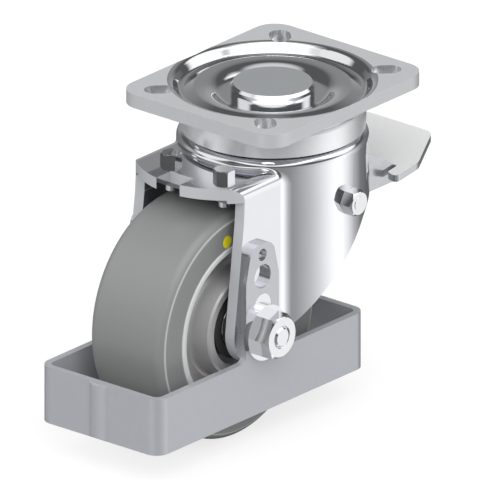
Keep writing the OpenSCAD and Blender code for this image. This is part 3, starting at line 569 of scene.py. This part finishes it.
@dataclass
class Fork(SubAssembly):
    """The pressed fork with its flange screws, and the fillet at the root of the crown.

    The radii are those of the solid, except root_r, which is the fillet's own along the flange.
    It grows to the legs' blend_r, and growth is the power that sets how late. Sink sets how deep
    the fillet's closing point lies in the sheet: at 1 it would lie in the corner itself.
    """

    crown_edge_r: float = 4.0 * MM
    bend_r: float = 5.5 * MM
    blend_r: float = 8.0 * MM
    root_r: float = 2.2 * MM
    flange_step: float = 4.2 * MM
    leg_y: float = 29.5 * MM
    growth: float = 1.5
    sink: float = 1.2
    flat_steps: int = 60
    bend_steps: int = 36
    arc_steps: int = 14

    def finishes(self) -> dict[str, Finish]:
        """Names the finish of each of its nodes.

        Returns:
            The finishes by node.
        """
        return {
            "fork": BRIGHT_ZINC,
            "flange_screws": FASTENER_ZINC,
            "clamp_plate": SPRING_STEEL,
            "pivot_bolt": FASTENER_ZINC,
            "pivot_nut": FASTENER_ZINC,
            "pivot_bushes": BEARING_STEEL,
        }

    def build(self) -> list[bpy.types.Object]:
        """Makes the root fillet.

        Returns:
            The fillet alone.
        """
        return [self.root_fillet()]

    def ball_path(self) -> tuple[np.ndarray, np.ndarray, np.ndarray, np.ndarray]:
        """Works out the path of a ball that rolls in the corner between crown and flange.

        The ball touches the flange, whose section across is a flat, then a bend of radius b
        about (y0, z0). At the turn a round that bend its centre is (y0, z0) + (b + r)(cos a,
        sin a), with r growing from the root radius to the radius of the legs' blend. It also
        touches the crown, so its distance from the axis is crown_r + r below the crown's
        rounded edge, and edge_r + sqrt((e + r)^2 - (z - edge_z)^2) beside it.

        Returns:
            The centres, the radii, and the directions to the two points of touch.
        """
        low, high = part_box("fork")
        crown_r, crown_top = high.y, high.z
        flange_top = crown_top - self.flange_step
        y0, z0 = self.leg_y - self.bend_r, flange_top - self.bend_r
        a = np.linspace(0.0, math.pi / 2, self.bend_steps)
        ease = (1 - np.sin(a)) ** self.growth
        r_bend = self.root_r + (self.blend_r - self.root_r) * ease
        y_flat = np.linspace(y0, -y0, self.flat_steps)[1:-1]
        r = np.concatenate([r_bend, np.full(len(y_flat), self.root_r), r_bend[::-1]])
        turn = np.concatenate([a, np.full(len(y_flat), math.pi / 2), math.pi - a[::-1]])
        y_mid = np.concatenate([np.full(len(a), y0), y_flat, np.full(len(a), -y0)])
        y = y_mid + (self.bend_r + r) * np.cos(turn)
        z = z0 + (self.bend_r + r) * np.sin(turn)
        edge_z, edge_r = crown_top - self.crown_edge_r, crown_r - self.crown_edge_r
        beside = np.sqrt(np.maximum((self.crown_edge_r + r) ** 2 - (z - edge_z) ** 2, 0.0))
        out = np.where(z > edge_z, edge_r + beside, crown_r + r)
        x = -np.sqrt(out**2 - y**2)
        centre = np.stack([x, y, z], axis=1)
        to_flange = np.stack([np.zeros_like(r), -np.cos(turn), -np.sin(turn)], axis=1)
        radial = np.stack([x / out, y / out, np.zeros_like(r)], axis=1)
        above = np.where(z > edge_z, z - edge_z, 0.0)
        inward = np.where(z > edge_z, out - edge_r, 1.0)
        to_crown = -radial * inward[:, None] - above[:, None] * np.array([0.0, 0.0, 1.0])
        to_crown /= np.linalg.norm(to_crown, axis=1)[:, None]
        return centre, r, to_flange, to_crown

    def root_fillet(self) -> bpy.types.Object:
        """Fills the corner between crown, flange and legs.

        The skin is centre(s) + r(s) * turn(s, t), where turn goes at an even rate on the great
        circle from the touch on the flange (t = 0) to the touch on the crown (t = 1). Each
        section is closed through one point inside the sheet.

        Returns:
            The fillet, which rides on the swivelling body.
        """
        centre, r, u, v = self.ball_path()
        cos_w = np.sum(u * v, axis=1)
        w = np.arccos(np.clip(cos_w, -1, 1))[:, None]
        t = np.linspace(0, 1, self.arc_steps)[None, :]
        share_u = (np.sin((1 - t) * w) / np.sin(w))[..., None]
        share_v = (np.sin(t * w) / np.sin(w))[..., None]
        turn = share_u * u[:, None, :] + share_v * v[:, None, :]
        skin = centre[:, None, :] + r[:, None, None] * turn
        inside = centre + (u + v) * (self.sink * r / (1 + cos_w))[:, None]
        loops = np.concatenate([skin, inside[:, None, :]], axis=1)
        rings, around = loops.shape[:2]
        faces = tube_faces(rings, around)
        piece = mesh_object("fork_root", loops.reshape(-1, 3), faces)
        close_ends(piece.data, around)
        piece.data.materials.append(BRIGHT_ZINC.material())
        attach(piece, Body.SWIVEL.value)
        return piece


def close_ends(mesh: bpy.types.Mesh, around: int) -> None:
    """Caps both ends of a tube and turns its faces outwards.

    Args:
        mesh: The tube, its vertices ring after ring.
        around: The number of vertices in a ring.
    """
    work = bmesh.new()
    work.from_mesh(mesh)
    work.verts.ensure_lookup_table()
    total = len(work.verts)
    work.faces.new([work.verts[i] for i in range(around)])
    work.faces.new([work.verts[i] for i in range(total - around, total)])
    bmesh.ops.recalc_face_normals(work, faces=work.faces)
    work.to_mesh(mesh)
    work.free()


@dataclass
class FootGuard(SubAssembly):
    """The guard band round the wheel, and the axle that holds it to the fork."""

    def finishes(self) -> dict[str, Finish]:
        """Names the finish of each of its nodes.

        Returns:
            The finishes by node.
        """
        return {
            "foot_guard": GUARD_ZINC,
            "guard_pins": FASTENER_ZINC,
            "axle_bolt": FASTENER_ZINC,
            "axle_nut": FASTENER_ZINC,
            "axle_washers": FASTENER_ZINC,
            "axle_tube": BEARING_STEEL,
            "end_collars": BEARING_STEEL,
        }


@dataclass
class Wheel(SubAssembly):
    """The tyre on its cast centre, with the two ball bearings."""

    def finishes(self) -> dict[str, Finish]:
        """Names the finish of each of its nodes.

        Returns:
            The finishes by node.
        """
        return {
            # The tyre has a lighter lip, a painted highlight line on its shoulder, and tread
            # rubber elsewhere
            "tyre": LIP_AND_HIGHLIGHT_RUBBER,
            "wheel_centre": CAST_ALLOY,
            "marker_dot": YELLOW_PAINT,
            "bearing_spacer": BEARING_STEEL,
            "bearing_inner_rings": BEARING_STEEL,
            "bearing_outer_rings": BEARING_STEEL,
            "bearing_balls": BEARING_STEEL,
            "bearing_shields": BEARING_SEAL,
        }


@dataclass
class Brake(SubAssembly):
    """The pedal, its cam roller, the shoe, and the leaf spring.

    Leaf_clamp and leaf_run are not used.
    """

    leaf_clamp: Point = (-41.0 * MM, 0.0, -30.45 * MM)
    leaf_run: Point = (-12.0 * MM, 0.0, -43.0 * MM)

    def finishes(self) -> dict[str, Finish]:
        """Names the finish of each of its nodes.

        Returns:
            The finishes by node.
        """
        return {
            "brake_pedal": PEDAL_ZINC,
            "cam_roller": BEARING_STEEL,
            "cam_pin": BEARING_STEEL,
            "brake_shoe": SPRING_STEEL,
        }

    def build(self) -> list[bpy.types.Object]:
        """Makes the leaf spring.

        Returns:
            The leaf alone.
        """
        return [self.leaf_spring()]

    def leaf_spring(self) -> bpy.types.Object:
        """Makes the leaf from a copy of its solid, and hides the solid.

        Returns:
            The leaf, in the part's own frame.
        """
        solid = self.nodes["brake_spring"]
        mesh = solid.data.copy()
        mesh.transform(solid.matrix_world)
        mesh.materials.clear()
        mesh.materials.append(SPRING_STEEL.material())
        piece = bpy.data.objects.new("leaf_spring", mesh)
        bpy.context.scene.collection.objects.link(piece)
        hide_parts("brake_spring")
        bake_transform(piece)
        return piece


@dataclass(frozen=True)
class Softbox:
    """A bright patch of the studio as polished metal sees it, with soft rims.

    Azimuth and elevation give its middle, inner and outer the half angles where the rim starts
    and ends, all in degrees.
    """

    azimuth: float
    elevation: float
    inner: float
    outer: float
    strength: float

    def direction(self) -> Point:
        """Works out the way to the patch.

        Returns:
            The unit vector from the object towards the patch.
        """
        a, e = math.radians(self.azimuth), math.radians(self.elevation)
        return (math.cos(a) * math.cos(e), math.sin(a) * math.cos(e), math.sin(e))


@dataclass(frozen=True)
class Walls:
    """The studio walls round the object as polished metal sees them, lit unevenly.

    Each stop is a way round in degrees and the brightness there; between stops it blends. The
    walls fade out between the two fade elevations, in degrees.
    """

    stops: tuple[tuple[float, float], ...]
    fade_low: float = 5.0
    fade_high: float = 24.0

    def brightness(self, tree: bpy.types.NodeTree) -> Socket:
        """Adds the nodes that give the walls' brightness in a direction.

        Args:
            tree: The world's node tree.

        Returns:
            A socket with the brightness, which fades to nothing above the walls.
        """
        place = tree.nodes.new("ShaderNodeTexCoord")
        way = split_axes(tree, place.outputs["Generated"])
        turn = number_node(tree, "ARCTAN2", way["Y"], way["X"])
        ramp = tree.nodes.new("ShaderNodeValToRGB")
        elements = ramp.color_ramp.elements
        for spot, (azimuth, level) in enumerate(self.stops):
            at = (azimuth + 180.0) / 360.0
            element = elements[spot] if spot < 2 else elements.new(at)
            element.position = at
            element.color = (level, level, level, 1.0)
        tree.links.new(range_node(tree, turn, (-math.pi, math.pi)), ramp.inputs["Fac"])
        rise = tuple(math.sin(math.radians(a)) for a in (self.fade_low, self.fade_high))
        fade = range_node(tree, way["Z"], rise, (1.0, 0.0), smooth=True)
        return number_node(tree, "MULTIPLY", ramp.outputs["Color"], fade)


@dataclass
class Studio:
    """Camera, floor, lamps and the surroundings that the plating reflects.

    Angles are in degrees. Centre_right and centre_up say where the middle of the picture lies in
    the camera's plane, and camera_way how far back the camera stands. The even light goes from
    ambient_below to ambient_above, and polished metal sees nothing darker than darkest. The floor
    has a grey, and a glow that only the camera sees. Each lamp has a name, the direction towards
    it and its strength.
    """

    azimuth: float = -49.83
    elevation: float = 22.04
    frame_width: float = 198.6 * MM
    centre_right: float = -13.53 * MM
    centre_up: float = -66.45 * MM
    camera_way: float = 0.6
    floor_size: float = 6.0
    ambient_below: float = 0.12
    ambient_above: float = 1.02
    darkest: float = 0.13
    floor_grey: float = 0.30
    floor_glow: float = 0.75
    lamp_width_deg: float = 60.0
    lamps: tuple[tuple[str, Point, float], ...] = (
        ("key", (-0.45, -0.62, 0.60), 1.5),
        ("fill", (-0.80, 0.35, 0.50), 0.55),
    )
    walls: Walls = Walls(
        (
            (-180.0, 0.85), (-172.0, 0.80), (-163.0, 0.44), (-151.0, 0.34), (-130.0, 0.33),
            (-118.0, 0.39), (-107.0, 0.55), (-100.0, 0.66), (-92.0, 0.80), (-84.0, 0.98),
            (-76.0, 1.19), (-67.0, 1.41), (-58.0, 1.54), (-48.0, 1.49), (-38.0, 1.18),
            (-25.0, 0.64), (-11.0, 0.28), (10.0, 0.18), (35.0, 0.15), (60.0, 0.22),
            (92.0, 0.29), (106.0, 0.62), (115.0, 0.55), (128.0, 0.38), (142.0, 0.70),
            (165.0, 0.60), (180.0, 0.85),
        )
    )
    softboxes: tuple[Softbox, ...] = (
        Softbox(-35.0, 40.0, 16.0, 27.0, 1.5),
        Softbox(-140.0, 62.0, 30.0, 42.0, 1.5),
        Softbox(-66.0, 47.0, 2.0, 24.0, 0.9),
        Softbox(133.0, 34.0, 16.0, 28.0, 1.2),
        Softbox(40.0, 20.0, 10.0, 40.0, 0.35),
        Softbox(0.0, 90.0, 18.0, 34.0, 0.9),
    )

    def axes(self) -> tuple[Vector, Vector, Vector]:
        """Works out how the camera is turned.

        Returns:
            The camera's right, up and backward directions.
        """
        a, e = math.radians(self.azimuth), math.radians(self.elevation)
        back = Vector((math.sin(a) * math.cos(e), -math.cos(a) * math.cos(e), math.sin(e)))
        right = Vector((math.cos(a), math.sin(a), 0.0))
        return right, back.cross(right), back

    def build(self, floor_z: float) -> None:
        """Sets up everything round the object.

        Args:
            floor_z: Height of the floor in the object's frame.
        """
        self.set_camera()
        self.set_floor(floor_z)
        self.set_world()
        for name, way, strength in self.lamps:
            self.set_lamp(name, way, strength)

    def set_camera(self) -> None:
        """Places the orthographic camera at the photograph's viewing angle."""
        right, up, back = self.axes()
        data = bpy.data.cameras.new("camera")
        data.type = "ORTHO"
        data.ortho_scale = self.frame_width
        camera = bpy.data.objects.new("camera", data)
        turn = Matrix((right, up, back)).transposed().to_4x4()
        place = right * self.centre_right + up * self.centre_up + back * self.camera_way
        camera.matrix_world = Matrix.Translation(place) @ turn
        bpy.context.scene.collection.objects.link(camera)
        bpy.context.scene.camera = camera

    def set_floor(self, floor_z: float) -> None:
        """Makes the pale floor, which keeps the object's shadow.

        Args:
            floor_z: Height of the floor in the object's frame.
        """
        half = self.floor_size / 2
        mesh = bpy.data.meshes.new("floor")
        corners = [(-half, -half), (half, -half), (half, half), (-half, half)]
        mesh.from_pydata([(x, y, floor_z) for x, y in corners], [], [(0, 1, 2, 3)])
        floor = bpy.data.objects.new("floor", mesh)
        bpy.context.scene.collection.objects.link(floor)
        floor.visible_glossy = False
        made = bpy.data.materials.new("pale_floor")
        made.use_nodes = True
        nodes, links = made.node_tree.nodes, made.node_tree.links
        nodes.clear()
        matt = nodes.new("ShaderNodeBsdfDiffuse")
        grey = self.floor_grey
        matt.inputs["Color"].default_value = (grey, grey, grey, 1.0)
        glow = nodes.new("ShaderNodeEmission")
        path = nodes.new("ShaderNodeLightPath")
        seen = path.outputs["Is Camera Ray"]
        level = number_node(made.node_tree, "MULTIPLY", seen, self.floor_glow)
        links.new(level, glow.inputs["Strength"])
        both = nodes.new("ShaderNodeAddShader")
        links.new(matt.outputs["BSDF"], both.inputs[0])
        links.new(glow.outputs["Emission"], both.inputs[1])
        out = nodes.new("ShaderNodeOutputMaterial")
        links.new(both.outputs["Shader"], out.inputs["Surface"])
        mesh.materials.append(made)
        floor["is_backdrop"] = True

    def set_lamp(self, name: str, way: Point, strength: float) -> None:
        """Adds one wide soft lamp.

        Args:
            name: The lamp's name.
            way: Direction from the object towards the lamp.
            strength: Its strength in watts per square metre.
        """
        data = bpy.data.lights.new(name, "SUN")
        data.energy = strength
        data.angle = math.radians(self.lamp_width_deg)
        lamp = bpy.data.objects.new(name, data)
        lamp.rotation_mode = "QUATERNION"
        lamp.rotation_quaternion = Vector(way).to_track_quat("Z", "Y")
        lamp.visible_glossy = False
        bpy.context.scene.collection.objects.link(lamp)

    def set_world(self) -> None:
        """Lights the object evenly, shows white to the camera and the softboxes to metal."""
        world = bpy.data.worlds.new("studio")
        bpy.context.scene.world = world
        world.use_nodes = True
        tree = world.node_tree
        tree.nodes.clear()
        way = tree.nodes.new("ShaderNodeTexCoord").outputs["Generated"]
        total = self.walls.brightness(tree)
        for box in self.softboxes:
            along = vector_node(tree, "DOT_PRODUCT", way, box.direction())["Value"]
            rims = tuple(math.cos(math.radians(a)) for a in (box.outer, box.inner))
            patch = range_node(tree, along, rims, (0.0, box.strength), smooth=True)
            total = number_node(tree, "ADD", patch, total)
        total = number_node(tree, "MAXIMUM", total, self.darkest)
        levels = (self.ambient_below, self.ambient_above)
        even = range_node(tree, split_axes(tree, way)["Z"], (-1.0, 1.0), levels)
        path = tree.nodes.new("ShaderNodeLightPath")
        seen = mix_node(tree, path.outputs["Is Glossy Ray"], even, total)
        sky = tree.nodes.new("ShaderNodeBackground")
        shown = mix_node(tree, path.outputs["Is Camera Ray"], seen, 1.0)
        tree.links.new(shown, sky.inputs["Strength"])
        out = tree.nodes.new("ShaderNodeOutputWorld")
        tree.links.new(sky.outputs["Background"], out.inputs["Surface"])


def main() -> None:
    """Loads the frame, dresses each sub-assembly and sets up the studio."""
    logging.basicConfig(level=logging.INFO, format="%(name)s: %(message)s")
    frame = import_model()
    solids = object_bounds()
    for kind in (MountingPlate, SwivelHead, Fork, FootGuard, Wheel, Brake):
        kind(frame["nodes"]).dress()
    Studio().build(floor_z=solids[0].z)
    bpy.context.scene.view_settings.view_transform = "Standard"


if __name__ == "__main__":
    main()
